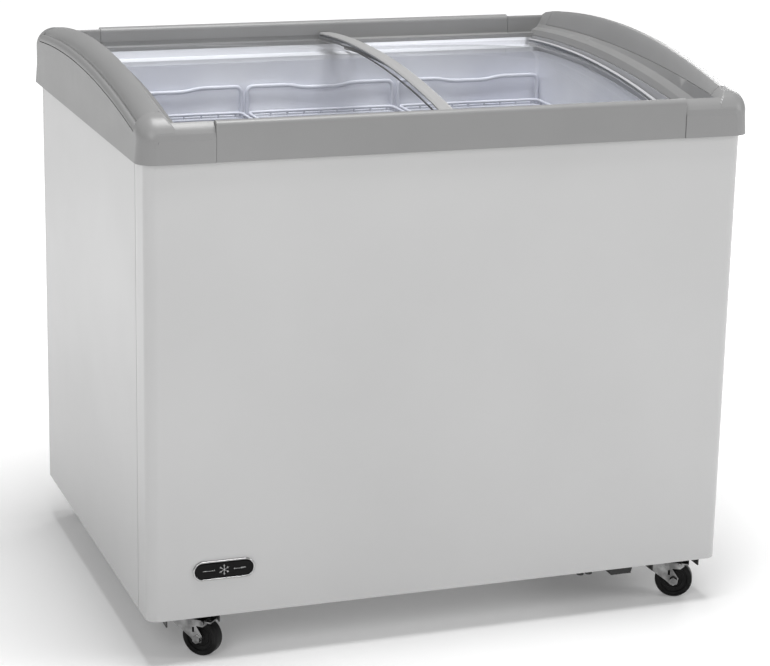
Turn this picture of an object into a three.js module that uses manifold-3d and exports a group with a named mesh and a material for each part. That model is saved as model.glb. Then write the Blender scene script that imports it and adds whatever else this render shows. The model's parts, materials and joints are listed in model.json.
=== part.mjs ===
// Chest freezer with two sliding curved glass lids, three hanging baskets and four swivel casters.
// Millimetres. +Z is up, the front faces -Y, +X is to the right. The origin is on the floor, centred.
import * as THREE from 'three';
import { mergeVertices } from 'three/addons/utils/BufferGeometryUtils.js';
import Module from 'manifold-3d';

const wasm = await Module();
wasm.setup();

// ---------- driving dimensions ----------
const CASTER_HEIGHT = 72;
const BODY_WIDTH = 905;
const BODY_DEPTH = 685;
const PANEL_TOP = 688;
const SHEET = 1.2;
const BODY_CORNER = 18;
const FRAME_WIDTH = 922;
const FRAME_DEPTH = 702;
const FRAME_CORNER = 28;
const LIP = 667;
const FRAME_FLOOR = 648;
const FRONT_RAIL_TOP = 724.5;
const BACK_RAIL_TOP = 748.5;
const CAP_START = 355;
const CAP_PROUD = 0.8;
const RAIL_INNER = 333.5;
const RAIL_ROUND = 7;
const RETURN_ROUND = 12;
const COVER_FRONT = -311;
const COVER_BACK = 301;
const COVER_SEAM = 0.6;
const THIN = 0.1;
const BACK_STEP_Y = 320;
const BACK_STEP_TOP = 718.5;
const BACK_STEP_BOTTOM = 712;
const OPENING_X = 395;
const OPENING_Y = 287.5;
const STRIP_SHEET = 3;
const LINER_X = 393.3;
const LINER_Y = 285;
const LINER_SHEET = 1.4;
const LINER_CORNER = 8;
const LINER_FLOOR = 62;
const STEP_X = 165;
const STEP_TOP = 300;
const BAY_X = 205;
const BAY_TOP = 240;
const GAP = 0.35;

const LID_CREST_Y = 150;
const LID_RADIUS = 2100;
const UPPER_CREST = 738;
const LOWER_CREST = 718;
const TRIM_DEPTH = 11;
const GLASS_DROP = 4;
const GLASS = 4;
const LID_EDGE_X = 393;
const SIDE_TRIM = 14;
const EDGE_TRIM = 6;
const GLASS_SLOT = 8;
const BAR_LEFT = 15;
const BAR_RIGHT = 38;
const LOWER_BAR_LEFT = 35;
const LOWER_BAR_RIGHT = 55;

const BASKET_WIDTH = 259;
const BASKET_PITCH = 262;
const BASKET_HALF_DEPTH = 281;
const BASKET_WALL = 3;
const BASKET_FLOOR = 385;
const BASKET_RIM = 615;
const BASKET_LIP = 7;
const HANDLE_TOP = 658;
const HANDLE_BAR = 7.5;

const GRILLE = { front: -158, back: 218, bottom: 20, top: 220 };
const DIAL = { y: -215, z: 120 };
const GLAND = { x: 330, z: 60 };
const DRAIN_X = -300;
const BADGE = { x: -341, z: 71, halfWidth: 46, halfHeight: 14.5, rim: 2.2 };

const WHEEL_RADIUS = 29;
const WHEEL_WIDTH = 21;
const CASTER_X = 380;
const CASTER_Y = 290;
const CASTER_TRAIL = 24;
const AXLE_RADIUS = 3.5;
const FORK_INNER = WHEEL_WIDTH / 2 + 2;
const FORK_SHEET = 2.2;
const RAIL_SHEET = 1.8;

const HALF_W = BODY_WIDTH / 2;
const HALF_D = BODY_DEPTH / 2;
const FRAME_X = FRAME_WIDTH / 2;
const FRAME_Y = FRAME_DEPTH / 2;

// ---------- materials ----------
const finish = (color, roughness, metalness) =>
  new THREE.MeshStandardMaterial({ color, roughness, metalness });
const WHITE_STEEL = finish(0xe4e4e4, 0.4, 0.1);
const GREY_PLASTIC = finish(0x8f8f8f, 0.42, 0);
const LIGHT_PLASTIC = finish(0xb4b4b2, 0.4, 0);
const LINER_WHITE = finish(0xd4d6e2, 0.35, 0.1);
const FOAM = finish(0xe6dcb0, 0.9, 0);
const GLASS_CLEAR = new THREE.MeshStandardMaterial({
  color: 0xdfe8ea, roughness: 0.05, metalness: 0, transparent: true, opacity: 0.3,
});
const WHITE_PLASTIC = finish(0xdfe0e8, 0.45, 0);
const COPPER = finish(0xb87333, 0.35, 1);
const BLACK_RUBBER = finish(0x111111, 0.6, 0);
const BLACK_GLOSS = finish(0x0b0b0c, 0.15, 0);
const BLACK_STEEL = finish(0x18181a, 0.5, 0.5);
const ZINC = finish(0x9a9a98, 0.35, 0.9);
const CHROME = finish(0xc8c8c8, 0.15, 1);
const WIRE_WHITE = finish(0xc9cbd8, 0.4, 0.1);

// ---------- geometry helpers ----------
function solid(geometry) {
  const bare = geometry.clone();
  bare.deleteAttribute('normal');
  bare.deleteAttribute('uv');
  const merged = mergeVertices(bare, 1e-4);
  return new wasm.Manifold(new wasm.Mesh({
    numProp: 3,
    vertProperties: new Float32Array(merged.attributes.position.array),
    triVerts: new Uint32Array(merged.index.array),
  }));
}

function geometryOf(body) {
  const mesh = body.getMesh();
  const geometry = new THREE.BufferGeometry();
  geometry.setAttribute('position', new THREE.BufferAttribute(mesh.vertProperties, 3));
  geometry.setIndex(new THREE.BufferAttribute(mesh.triVerts, 1));
  geometry.computeVertexNormals();
  return geometry;
}

function piece(name, shape, material) {
  const geometry = shape.isBufferGeometry ? shape : geometryOf(shape);
  const mesh = new THREE.Mesh(geometry, material);
  mesh.name = name;
  return mesh;
}

function box(x0, x1, y0, y1, z0, z1) {
  const geometry = new THREE.BoxGeometry(x1 - x0, y1 - y0, z1 - z0);
  geometry.translate((x0 + x1) / 2, (y0 + y1) / 2, (z0 + z1) / 2);
  return solid(geometry);
}

function shapeOf(points) {
  return new THREE.Shape(points.map(([a, b]) => new THREE.Vector2(a, b)));
}

// An outline of (y, z) points carried along X.
function alongX(points, x0, x1, holes = []) {
  const shape = shapeOf(points);
  shape.holes = holes.map(shapeOf);
  const geometry = new THREE.ExtrudeGeometry(shape, { depth: x1 - x0, bevelEnabled: false });
  const turn = new THREE.Matrix4().set(0, 0, 1, x0, 1, 0, 0, 0, 0, 1, 0, 0, 0, 0, 0, 1);
  return solid(geometry.applyMatrix4(turn));
}

// An outline of (x, y) points, or a shape, carried up along Z.
function alongZ(outline, z0, z1, holes = []) {
  const shape = Array.isArray(outline) ? shapeOf(outline) : outline;
  shape.holes = holes;
  const options = { depth: z1 - z0, bevelEnabled: false, curveSegments: 4 };
  const geometry = new THREE.ExtrudeGeometry(shape, options);
  return solid(geometry.translate(0, 0, z0));
}

// An outline of (x, z) points carried from y0 to y1.
function alongY(points, y0, y1) {
  const geometry = new THREE.ExtrudeGeometry(shapeOf(points), { depth: y1 - y0, bevelEnabled: false });
  return solid(geometry.rotateX(Math.PI / 2).translate(0, y1, 0));
}

function roundedRect(halfX, halfY, radius) {
  const shape = new THREE.Shape();
  shape.moveTo(halfX - radius, -halfY);
  shape.absarc(halfX - radius, radius - halfY, radius, -Math.PI / 2, 0);
  shape.absarc(halfX - radius, halfY - radius, radius, 0, Math.PI / 2);
  shape.absarc(radius - halfX, halfY - radius, radius, Math.PI / 2, Math.PI);
  shape.absarc(radius - halfX, radius - halfY, radius, Math.PI, 1.5 * Math.PI);
  return shape;
}

function cylinder(radius, length, axis, centre, segments = 24) {
  const geometry = new THREE.CylinderGeometry(radius, radius, length, segments);
  if (axis === 'x') geometry.rotateZ(-Math.PI / 2);
  if (axis === 'z') geometry.rotateX(Math.PI / 2);
  return solid(geometry.translate(...centre));
}

// Rings of [x, y, z] points, one ring for each station along Y, closed at both ends.
function loft(rings) {
  const count = rings[0].length;
  const last = (rings.length - 1) * count;
  const index = [];
  for (let i = 0; i < rings.length - 1; i += 1) {
    for (let j = 0; j < count; j += 1) {
      const a = i * count + j;
      const b = i * count + ((j + 1) % count);
      index.push(b, a, a + count, b, a + count, b + count);
    }
  }
  const endCap = (ring) => THREE.ShapeUtils.triangulateShape(
    ring.map(([x, , z]) => new THREE.Vector2(x, z)), []);
  endCap(rings[0]).forEach(([a, b, c]) => index.push(a, b, c));
  endCap(rings[rings.length - 1]).forEach(([a, b, c]) => index.push(last + a, last + c, last + b));
  const geometry = new THREE.BufferGeometry();
  geometry.setAttribute('position', new THREE.Float32BufferAttribute(rings.flat(2), 3));
  geometry.setIndex(index);
  return solid(geometry);
}

function steps(from, to, count) {
  return Array.from({ length: count + 1 }, (_, i) => from + ((to - from) * i) / count);
}

const mirrored = (body) => body.mirror([1, 0, 0]);

// ---------- curves of the top frame and lids, as heights over Y ----------
const arc = (peakY, peakZ, radius) => (y) => peakZ - radius + Math.sqrt(radius ** 2 - (y - peakY) ** 2);
const grooveLine = arc(100, 745, 2080);
const ridgeLine = arc(60, 774, 1750);
const innerLines = [arc(60, 743, 3200), arc(100, 738, 2300), arc(120, 732, 2300), arc(130, 722, 2600)];
const INNER_X = [412, 408, 400, 396];
const LIP_EDGE = 0.8;
const upperTop = arc(LID_CREST_Y, UPPER_CREST, LID_RADIUS);
const lowerTop = arc(LID_CREST_Y, LOWER_CREST, LID_RADIUS);

// ---------- cabinet ----------
function panels() {
  const wrap = 59;
  const seamY = -HALF_D + wrap;
  const ring = alongZ(
    roundedRect(HALF_W, HALF_D, BODY_CORNER), 0, PANEL_TOP,
    [roundedRect(HALF_W - SHEET, HALF_D - SHEET, BODY_CORNER - SHEET)]);
  const sideKeep = box(0, HALF_W + 1, seamY + GAP, HALF_D - 24, -1, PANEL_TOP + 1);
  const lap = 8;
  const grilleHole = box(HALF_W - 5, HALF_W + 1, GRILLE.front + lap, GRILLE.back - lap,
    GRILLE.bottom + lap, GRILLE.top - lap);
  const dialHole = cylinder(18, 8, 'x', [HALF_W, DIAL.y, DIAL.z]);
  const glandHole = cylinder(11, 10, 'y', [GLAND.x, HALF_D, GLAND.z]);
  const rightSide = ring.intersect(sideKeep);
  const front = ring.intersect(box(-HALF_W - 1, HALF_W + 1, -HALF_D - 1, seamY, -1, PANEL_TOP + 1));
  const back = ring.intersect(
    box(-HALF_W - 1, HALF_W + 1, HALF_D - 24 + GAP, HALF_D + 1, -1, PANEL_TOP + 1));
  return [
    piece('front_panel', front, WHITE_STEEL),
    piece('left_side_panel', mirrored(rightSide), WHITE_STEEL),
    piece('right_side_panel', rightSide.subtract(grilleHole).subtract(dialHole), WHITE_STEEL),
    piece('back_panel', back.subtract(glandHole), WHITE_STEEL),
  ];
}

function linerCavity(grow) {
  const low = LINER_FLOOR - grow;
  const tub = alongZ(roundedRect(LINER_X + grow, LINER_Y + grow, LINER_CORNER + grow), low, 720);
  const step = box(STEP_X + grow, 460, -400, 400, 0, STEP_TOP - grow);
  return tub.subtract(step);
}

function innerLiner() {
  const halfSpan = HALF_D - 6;
  const ys = steps(-LINER_Y - 3, LINER_Y + 3, 14);
  const rim = ys.map((y) => [y, lowerTop(y) - 21]);
  const under = alongX([...rim, [LINER_Y + 3, 0], [-LINER_Y - 3, 0]], -460, 460);
  const shell = linerCavity(LINER_SHEET).subtract(linerCavity(0)).intersect(under);
  const flange = box(-HALF_W + 8, HALF_W - 8, -halfSpan, halfSpan, 645, 646.6)
    .subtract(linerCavity(LINER_SHEET / 2));
  const drain = cylinder(9, 30, 'z', [DRAIN_X, 0, LINER_FLOOR], 16);
  return piece('inner_liner', shell.add(flange).subtract(drain), LINER_WHITE);
}

function foamInsulation() {
  const inset = SHEET + GAP;
  const block = alongZ(roundedRect(HALF_W - inset, HALF_D - inset, BODY_CORNER - inset), 2, 644);
  const bay = box(BAY_X, 460, -350, 350, 0, BAY_TOP);
  const drain = cylinder(6, 80, 'z', [DRAIN_X, 0, 30], 16);
  const body = block.subtract(linerCavity(LINER_SHEET + GAP)).subtract(bay).subtract(drain);
  return piece('foam_insulation', body, FOAM);
}

function hangers() {
  const reach = LINER_X - LINER_CORNER - 1;
  return [-1, 1].map((side) => {
    const near = LINER_Y - 7.5;
    const far = LINER_Y - GAP;
    const y0 = side > 0 ? near : -far;
    const y1 = side > 0 ? far : -near;
    const name = side > 0 ? 'rear_basket_hanger' : 'front_basket_hanger';
    const top = BASKET_RIM - BASKET_LIP - 1;
    return piece(name, box(-reach, reach, y0, y1, top - 8, top), LINER_WHITE);
  });
}

function base() {
  const edgeX = HALF_W - SHEET - GAP;
  const edgeY = HALF_D - SHEET - GAP;
  const pan = alongZ(roundedRect(edgeX, edgeY, BODY_CORNER - 1.5), 0, 1.4)
    .subtract(box(BAY_X - 1, 470, -350, 350, -1, 3))
    .subtract(cylinder(6, 8, 'z', [DRAIN_X, 0, 0], 16));
  const floorPlate = alongZ(roundedRect(edgeX, edgeY, BODY_CORNER - 1.5), 0, 1.4)
    .intersect(box(BAY_X, 470, -350, 350, -1, 3));
  const well = alongY([[283, 0.5], [291, -25], [324, -25], [331, 0.5]], -306, -236);
  const nubs = [241, 255].map((x) => cylinder(5.5, 22, 'z', [x, -300, -9], 16));
  const tray = floorPlate.add(well).add(nubs[0]).add(nubs[1]);
  const railX = 345;
  const width = 80;
  const drop = -12;
  const web = -RAIL_SHEET - GAP;
  const outline = [
    [0, drop], [RAIL_SHEET, drop], [RAIL_SHEET, web], [width - RAIL_SHEET, web],
    [width - RAIL_SHEET, drop], [width, drop], [width, -GAP], [0, -GAP]];
  const rail = alongY(outline.map(([x, z]) => [x + railX, z]), -HALF_D + 6, HALF_D - 6);
  return [
    piece('base_pan', pan, ZINC),
    piece('compressor_tray', tray, BLACK_STEEL),
    piece('left_base_rail', mirrored(rail), BLACK_STEEL),
    piece('right_base_rail', rail, BLACK_STEEL),
  ];
}

// ---------- grey top frame ----------
// The space of the panels' top edges, and everything outside them below the frame's lip.
function frameCutters() {
  const rim = 30;
  const seat = roundedRect(HALF_W - SHEET - 0.7, HALF_D - SHEET - 0.7, BODY_CORNER - 2);
  const below = alongZ(roundedRect(HALF_W + rim, HALF_D + rim, 2), 600, LIP, [seat]);
  const slotOuter = roundedRect(HALF_W + 0.5, HALF_D + 0.5, BODY_CORNER + 0.5);
  return below.add(alongZ(slotOuter, 600, PANEL_TOP + 0.6, [seat]));
}

// A rail's outline in (y, z): a wall with a rounded top. side is -1 at the front and 1 at the back,
// where the wall has a step over the lower lid's edge.
function railOutline(side, top, proud, outerRound) {
  const face = FRAME_Y - CAP_PROUD + proud;
  const middle = (face + RAIL_INNER) / 2;
  const reach = (face - RAIL_INNER) / 2;
  const crown = steps(0, Math.PI, 8).map((t) => {
    const round = t < Math.PI / 2 ? outerRound : RAIL_ROUND;
    return [side * (middle + reach * Math.cos(t)), top + proud - round + round * Math.sin(t)];
  });
  const step = side < 0 ? [] : [
    [RAIL_INNER, BACK_STEP_TOP], [BACK_STEP_Y, BACK_STEP_TOP],
    [BACK_STEP_Y, BACK_STEP_BOTTOM], [RAIL_INNER, BACK_STEP_BOTTOM]];
  return [[side * face, FRAME_FLOOR], ...crown, ...step, [side * RAIL_INNER, FRAME_FLOOR]];
}

// The part of a rail that the end cap carries: it rounds down to the side at the corner.
function capReturn(side, top) {
  const height = top + CAP_PROUD;
  const corner = steps(0, Math.PI / 2, 6).map((t) => [
    FRAME_X - FRAME_CORNER + FRAME_CORNER * Math.cos(t),
    height - FRAME_CORNER + FRAME_CORNER * Math.sin(t)]);
  const from = Math.min(side * (BACK_STEP_Y - 1), side * (FRAME_Y + 1));
  const to = Math.max(side * (BACK_STEP_Y - 1), side * (FRAME_Y + 1));
  const limit = alongY([[CAP_START - 1, 600], [FRAME_X, 600], ...corner, [CAP_START - 1, height]], from, to);
  return alongX(railOutline(side, top, CAP_PROUD, RETURN_ROUND), CAP_START, FRAME_X).intersect(limit);
}

// The end cap's crown between its side and its inner slope. Past the arch cover's ends it is one
// round corner.
function crownOutline(y) {
  const groove = grooveLine(y);
  const ridge = ridgeLine(y);
  const inner = [[FRAME_X - 36, ridge], [FRAME_X - 43, ridge - 5], [FRAME_X - 47, ridge - 15]];
  if (y < COVER_FRONT - COVER_SEAM || y > COVER_BACK + COVER_SEAM) {
    const corner = steps(0, Math.PI / 2, 6).map((t) => [
      FRAME_X - FRAME_CORNER + FRAME_CORNER * Math.cos(t),
      ridge - FRAME_CORNER + FRAME_CORNER * Math.sin(t)]);
    return [...corner, ...inner];
  }
  return [
    [FRAME_X, groove], [FRAME_X - 1, groove + 5], [FRAME_X - 5, groove + 10], [FRAME_X - 10, groove + 12],
    [FRAME_X - 13, groove + 16], [FRAME_X - 19, groove + 22], [FRAME_X - 27, ridge - 1.2], ...inner];
}

// The end cap's outline at one place along its length: side, crown, inner slope and steps.
function capSection(y) {
  const run = Math.max(0, Math.abs(y) - FRAME_Y + FRAME_CORNER);
  const limit = ridgeLine(y) - FRAME_CORNER + Math.sqrt(FRAME_CORNER ** 2 - run ** 2);
  const inner = innerLines.map((line, i) => [INNER_X[i], line(y)]);
  const lip = [INNER_X[3], inner[3][1] - LIP_EDGE];
  const wallX = OPENING_X + STRIP_SHEET;
  const ring = [
    [FRAME_X, FRAME_FLOOR], ...crownOutline(y), ...inner, lip, [wallX, lip[1]], [wallX, FRAME_FLOOR]];
  return ring.map(([x, z]) => [x, y, Math.min(z, limit)]);
}

function endCapParts() {
  const near = FRAME_Y - FRAME_CORNER;
  const end = FRAME_Y - 0.2;
  const coverFrom = COVER_FRONT - COVER_SEAM;
  const coverTo = COVER_BACK + COVER_SEAM;
  const ys = [
    ...steps(-end, -near, 4), coverFrom - THIN, coverFrom,
    ...steps(-290, 290, 10), coverTo, coverTo + THIN, ...steps(near, end, 4)];
  const side = loft(ys.map(capSection));
  const plan = alongZ(roundedRect(FRAME_X, FRAME_Y, FRAME_CORNER), 600, 800);
  const pocket = box(403, 444, -296, 296, 600, 682);
  const full = side.add(capReturn(-1, FRONT_RAIL_TOP)).add(capReturn(1, BACK_RAIL_TOP))
    .intersect(plan).subtract(frameCutters()).subtract(pocket);
  // Everything over the line from the side's groove to the foot of the inner slope.
  const over = (from, to, outerLift, innerLift) => loft(steps(from, to, 12).map((y) => {
    const outerX = FRAME_X + 9;
    const innerX = 380;
    const foot = innerLines[0](y);
    const slope = (foot - grooveLine(y)) / (outerX - INNER_X[0]);
    const innerZ = foot + slope * (INNER_X[0] - innerX) + innerLift;
    return [[outerX, y, grooveLine(y) + outerLift], [outerX, y, 800], [innerX, y, 800], [innerX, y, innerZ]];
  }));
  const cover = full.intersect(over(COVER_FRONT, COVER_BACK, 1.2, GAP));
  const cap = full.subtract(over(coverFrom, coverTo, 0, 0));
  return { cap, cover };
}

function topFrame() {
  const cutters = frameCutters();
  const reach = CAP_START - GAP;
  const rail = (side, top) => alongX(railOutline(side, top, 0, RAIL_ROUND), -reach, reach).subtract(cutters);
  const { cap, cover } = endCapParts();
  return [
    piece('front_rail', rail(-1, FRONT_RAIL_TOP), GREY_PLASTIC),
    piece('back_rail', rail(1, BACK_RAIL_TOP), GREY_PLASTIC),
    piece('right_end_cap', cap, GREY_PLASTIC),
    piece('left_end_cap', mirrored(cap), GREY_PLASTIC),
    piece('right_arch_cover', cover, GREY_PLASTIC),
    piece('left_arch_cover', mirrored(cover), GREY_PLASTIC),
  ];
}

// ---------- white profiles around the opening ----------
// Stepped profiles carry the lids' front and back edges, and thin strips close the two sides.
function openingProfiles() {
  const reach = OPENING_X - GAP;
  const edge = RAIL_INNER - GAP;
  const front = [
    [-edge, FRAME_FLOOR], [-OPENING_Y, FRAME_FLOOR], [-OPENING_Y, 652], [-321.5, 652], [-321.5, 671],
    [-edge, 671]];
  const backTop = BACK_STEP_BOTTOM - GAP;
  const back = [
    [edge, FRAME_FLOOR], [edge, backTop], [BACK_STEP_Y, backTop], [BACK_STEP_Y, 699.5],
    [OPENING_Y, 699.5], [OPENING_Y, FRAME_FLOOR]];
  const hollow = [[316, 690], [316, 654], [293, 654], [293, 690]];
  const stripRing = (y) => {
    const top = innerLines[3](y) - LIP_EDGE - 2 * GAP;
    const outer = OPENING_X + STRIP_SHEET - GAP;
    return [[outer, y, FRAME_FLOOR], [outer, y, top], [OPENING_X, y, top], [OPENING_X, y, FRAME_FLOOR]];
  };
  const strip = loft(steps(-edge, BACK_STEP_Y - GAP, 14).map(stripRing));
  return [
    piece('front_lid_track', alongX(front, -reach, reach), WHITE_PLASTIC),
    piece('back_lid_track', alongX(back, -reach, reach, [hollow]), WHITE_PLASTIC),
    piece('right_throat_strip', strip, WHITE_PLASTIC),
    piece('left_throat_strip', mirrored(strip), WHITE_PLASTIC),
  ];
}

// ---------- sliding lids ----------
function curvedStrip(topLine, y0, y1, drop, thickness, x0, x1) {
  const ys = steps(y0, y1, 14);
  const upper = ys.map((y) => [y, topLine(y) - drop]);
  const lower = ys.map((y) => [y, topLine(y) - drop - thickness]);
  return alongX([...lower, ...upper.reverse()], x0, x1);
}

// A sliding lid's strips: trims with a slot on their inner side, and the glass between them.
// margin is what the trims leave free above and below within the lid's depth.
function lidStrips(topLine, y0, y1, margin) {
  const strip = (drop, thickness, x0, x1) => curvedStrip(topLine, y0, y1, drop, thickness, x0, x1);
  const slot = (x0, x1) => strip(GLASS_DROP - GAP, GLASS + 2 * GAP, x0, x1);
  const whole = (x0, x1) => strip(margin, TRIM_DEPTH - 1.5 * margin, x0, x1);
  return {
    strip,
    glass: (x0, x1) => strip(GLASS_DROP, GLASS, x0, x1),
    leftTrim: (x0, x1, depth) => whole(x0, x1).subtract(slot(x1 - depth - GAP, x1 + 1)),
    rightTrim: (x0, x1, depth) => whole(x0, x1).subtract(slot(x0 - 1, x0 + depth + GAP)),
  };
}

function upperLid() {
  const { strip, glass, leftTrim, rightTrim } = lidStrips(upperTop, -331, 330, 0);
  const trimRight = -LID_EDGE_X + SIDE_TRIM;
  const gasket = strip(GLASS_DROP + GLASS + GAP, 2, BAR_LEFT - 7, BAR_LEFT - GAP);
  return [
    piece('upper_glass', glass(trimRight - GLASS_SLOT, BAR_LEFT + GLASS_SLOT), GLASS_CLEAR),
    piece('centre_bar', rightTrim(BAR_LEFT, BAR_RIGHT, GLASS_SLOT), LIGHT_PLASTIC),
    piece('centre_bar_gasket', gasket, BLACK_RUBBER),
    piece('upper_lid_left_trim', leftTrim(-LID_EDGE_X, trimRight, GLASS_SLOT), LIGHT_PLASTIC),
  ];
}

function lowerLid() {
  const { glass, leftTrim, rightTrim } = lidStrips(lowerTop, -319, 317, 2);
  const edgeLeft = LID_EDGE_X - EDGE_TRIM;
  const edgeSlot = EDGE_TRIM / 2;
  return [
    piece('lower_glass', glass(LOWER_BAR_RIGHT - GLASS_SLOT, edgeLeft + edgeSlot), GLASS_CLEAR),
    piece('lower_lid_left_trim', leftTrim(LOWER_BAR_LEFT, LOWER_BAR_RIGHT, GLASS_SLOT), BLACK_RUBBER),
    piece('lower_lid_right_trim', rightTrim(edgeLeft, LID_EDGE_X, edgeSlot), WHITE_PLASTIC),
  ];
}

// ---------- baskets ----------
function basket(name, centreX) {
  const half = BASKET_WIDTH / 2;
  const depth = BASKET_HALF_DEPTH;
  const end = LINER_Y - 10;
  const well = (bottom) => box(
    BASKET_WALL - half, half - BASKET_WALL, BASKET_WALL - end, end - BASKET_WALL, bottom, BASKET_RIM + 1);
  const tub = box(-half, half, -end, end, BASKET_FLOOR, BASKET_RIM)
    .subtract(well(BASKET_FLOOR + BASKET_WALL));
  const lip = box(-half, half, -depth, depth, BASKET_RIM - BASKET_LIP, BASKET_RIM)
    .subtract(well(BASKET_RIM - BASKET_LIP - 1));
  const handle = (y0) => box(-half, half, y0, y0 + HANDLE_BAR, BASKET_RIM - 5, HANDLE_TOP)
    .subtract(box(HANDLE_BAR - half, half - HANDLE_BAR, y0 - 1, y0 + HANDLE_BAR + 1,
      BASKET_RIM, HANDLE_TOP - HANDLE_BAR));
  const body = tub.add(lip).add(handle(end - BASKET_WALL)).add(handle(BASKET_WALL - end - HANDLE_BAR));
  const mesh = piece(name, body, WIRE_WHITE);
  mesh.position.x = centreX;
  return mesh;
}

// ---------- cooling unit, service parts and badge ----------
function coolingUnit() {
  const profile = [[0, 8], [52, 8], [62, 16], [66, 40], [66, 100], [60, 128], [40, 146], [0, 152]];
  const unitX = 320;
  const unitY = 60;
  const shell = new THREE.LatheGeometry(profile.map(([r, z]) => new THREE.Vector2(r, z)), 28)
    .rotateX(Math.PI / 2);
  const foot = box(-85, 85, -55, 55, 4, 10);
  const stub = cylinder(4, 30, 'x', [70, 0, 90], 12);
  const compressor = piece('compressor', solid(shell).add(foot).add(stub), BLACK_STEEL);
  compressor.position.set(unitX, unitY, 0);
  const relay = piece('start_relay_box', box(-24, 24, -16, 16, 0, 44), BLACK_GLOSS);
  relay.position.set(unitX, unitY - 86, 60);
  const drier = piece('filter_drier', cylinder(9, 110, 'z', [0, 0, 0], 20), COPPER);
  drier.position.set(unitX - 80, unitY + 150, 80);
  return [compressor, relay, drier];
}

function ventGrille() {
  const x = HALF_W;
  const lap = 9;
  const bar = 4;
  const middle = (GRILLE.front + GRILLE.back) / 2;
  const flange = box(x + GAP, x + 3, GRILLE.front, GRILLE.back, GRILLE.bottom, GRILLE.top);
  const plug = box(x - 4, x + 1, GRILLE.front + lap, GRILLE.back - lap,
    GRILLE.bottom + lap, GRILLE.top - lap);
  let grille = flange.add(plug);
  const rows = 9;
  for (let row = 0; row < rows; row += 1) {
    const z = GRILLE.bottom + 20 + row * 18;
    grille = grille.subtract(box(x - 6, x + 5, GRILLE.front + 20, middle - bar, z, z + 9));
    grille = grille.subtract(box(x - 6, x + 5, middle + bar, GRILLE.back - 20, z, z + 9));
  }
  return piece('vent_grille', grille, GREY_PLASTIC);
}

function thermostat() {
  const face = HALF_W + GAP;
  const rod = (radius, length, x, segments) => cylinder(radius, length, 'x', [x, DIAL.y, DIAL.z], segments);
  const housing = rod(26, 2.6, face + 1.3, 32).add(rod(16, 24, HALF_W - 10, 32));
  const mark = box(face + 7, face + 9, DIAL.y - 1.2, DIAL.y + 1.2, DIAL.z, DIAL.z + 20);
  const knob = rod(19, 5, face + 5.5, 32).add(rod(4, 14, HALF_W, 16)).subtract(mark);
  return [
    piece('thermostat_housing', housing.subtract(rod(4.4, 60, HALF_W, 16)), GREY_PLASTIC),
    piece('thermostat_knob', knob, BLACK_GLOSS),
  ];
}

function serviceParts() {
  const rod = (radius, length, y, segments) => cylinder(radius, length, 'y', [GLAND.x, y, GLAND.z], segments);
  const gland = rod(15, 5, HALF_D + 2.9, 24).add(rod(10.4, 16, HALF_D - 4, 24))
    .subtract(rod(4, 60, HALF_D, 16));
  const plug = cylinder(14, 3, 'z', [DRAIN_X, 0, LINER_FLOOR + 1.9], 24)
    .add(cylinder(8.5, 3, 'z', [DRAIN_X, 0, LINER_FLOOR + 0.3], 16));
  return [piece('cord_gland', gland, BLACK_RUBBER), piece('drain_plug', plug, LINER_WHITE)];
}

function badge() {
  const stadium = (inset) => roundedRect(
    BADGE.halfWidth - inset, BADGE.halfHeight - inset, BADGE.halfHeight - inset - 0.01);
  const turned = (body) => body.rotate([90, 0, 0]).translate([BADGE.x, -HALF_D - GAP, BADGE.z]);
  const rim = alongZ(stadium(0), 0, 2.4, [stadium(BADGE.rim)]);
  const plate = alongZ(stadium(BADGE.rim + 0.3), 0, 1.9);
  return [piece('badge_rim', turned(rim), CHROME), piece('badge_plate', turned(plate), BLACK_GLOSS)];
}

// ---------- casters ----------
function casterPlate() {
  const plate = alongZ(roundedRect(31, 27, 5), -2.5, 0);
  const race = cylinder(21, 3.2, 'z', [0, 0, -3.9], 16);
  const bolts = [-22, 22].flatMap((x) => [-18, 18].map((y) => cylinder(4, 3, 'z', [x, y, -3.9], 6)));
  return bolts.reduce((body, bolt) => body.add(bolt), plate.add(race));
}

// The fork's own frame: swivel axis at the origin, wheel trailing along +X, axle along Y.
function casterFork(wheelZ) {
  const crownTop = -5.9;
  const legY = FORK_INNER;
  const sheet = FORK_SHEET;
  const crown = alongZ(roundedRect(24, legY + sheet, 8), crownTop - 2.4, crownTop);
  const leg = [[-24, crownTop - 1], [22, crownTop - 1], [22, -22], [32, wheelZ + 4], [30, wheelZ - 6],
    [20, wheelZ - 7], [12, wheelZ], [-22, -18]];
  const legs = alongY(leg, legY, legY + sheet).add(alongY(leg, -legY - sheet, -legY));
  const slot = box(15, 18.5, -40, 40, wheelZ + 9, wheelZ + 17);
  const axleHole = cylinder(AXLE_RADIUS + 0.3, 80, 'y', [CASTER_TRAIL, 0, wheelZ], 12);
  return crown.add(legs).subtract(slot).subtract(axleHole);
}

function casterWheel() {
  const r = WHEEL_RADIUS;
  const w = WHEEL_WIDTH / 2;
  const hub = AXLE_RADIUS + 0.35;
  const profile = [[hub, -w], [9, -w], [12, -w + 3], [21, -w + 3], [23, -w], [r - 2.5, -w], [r, -w + 3.5],
    [r, w - 3.5], [r - 2.5, w], [23, w], [21, w - 3], [12, w - 3], [9, w], [hub, w], [hub, -w]];
  return solid(new THREE.LatheGeometry(profile.map(([a, b]) => new THREE.Vector2(a, b)), 20));
}

function casterAxle() {
  const nutY = FORK_INNER + FORK_SHEET + GAP + 2.5;
  return cylinder(AXLE_RADIUS, 2 * nutY, 'y', [0, 0, 0], 12)
    .add(cylinder(6.5, 5, 'y', [0, nutY, 0], 6))
    .add(cylinder(6.5, 5, 'y', [0, -nutY, 0], 6));
}

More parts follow.
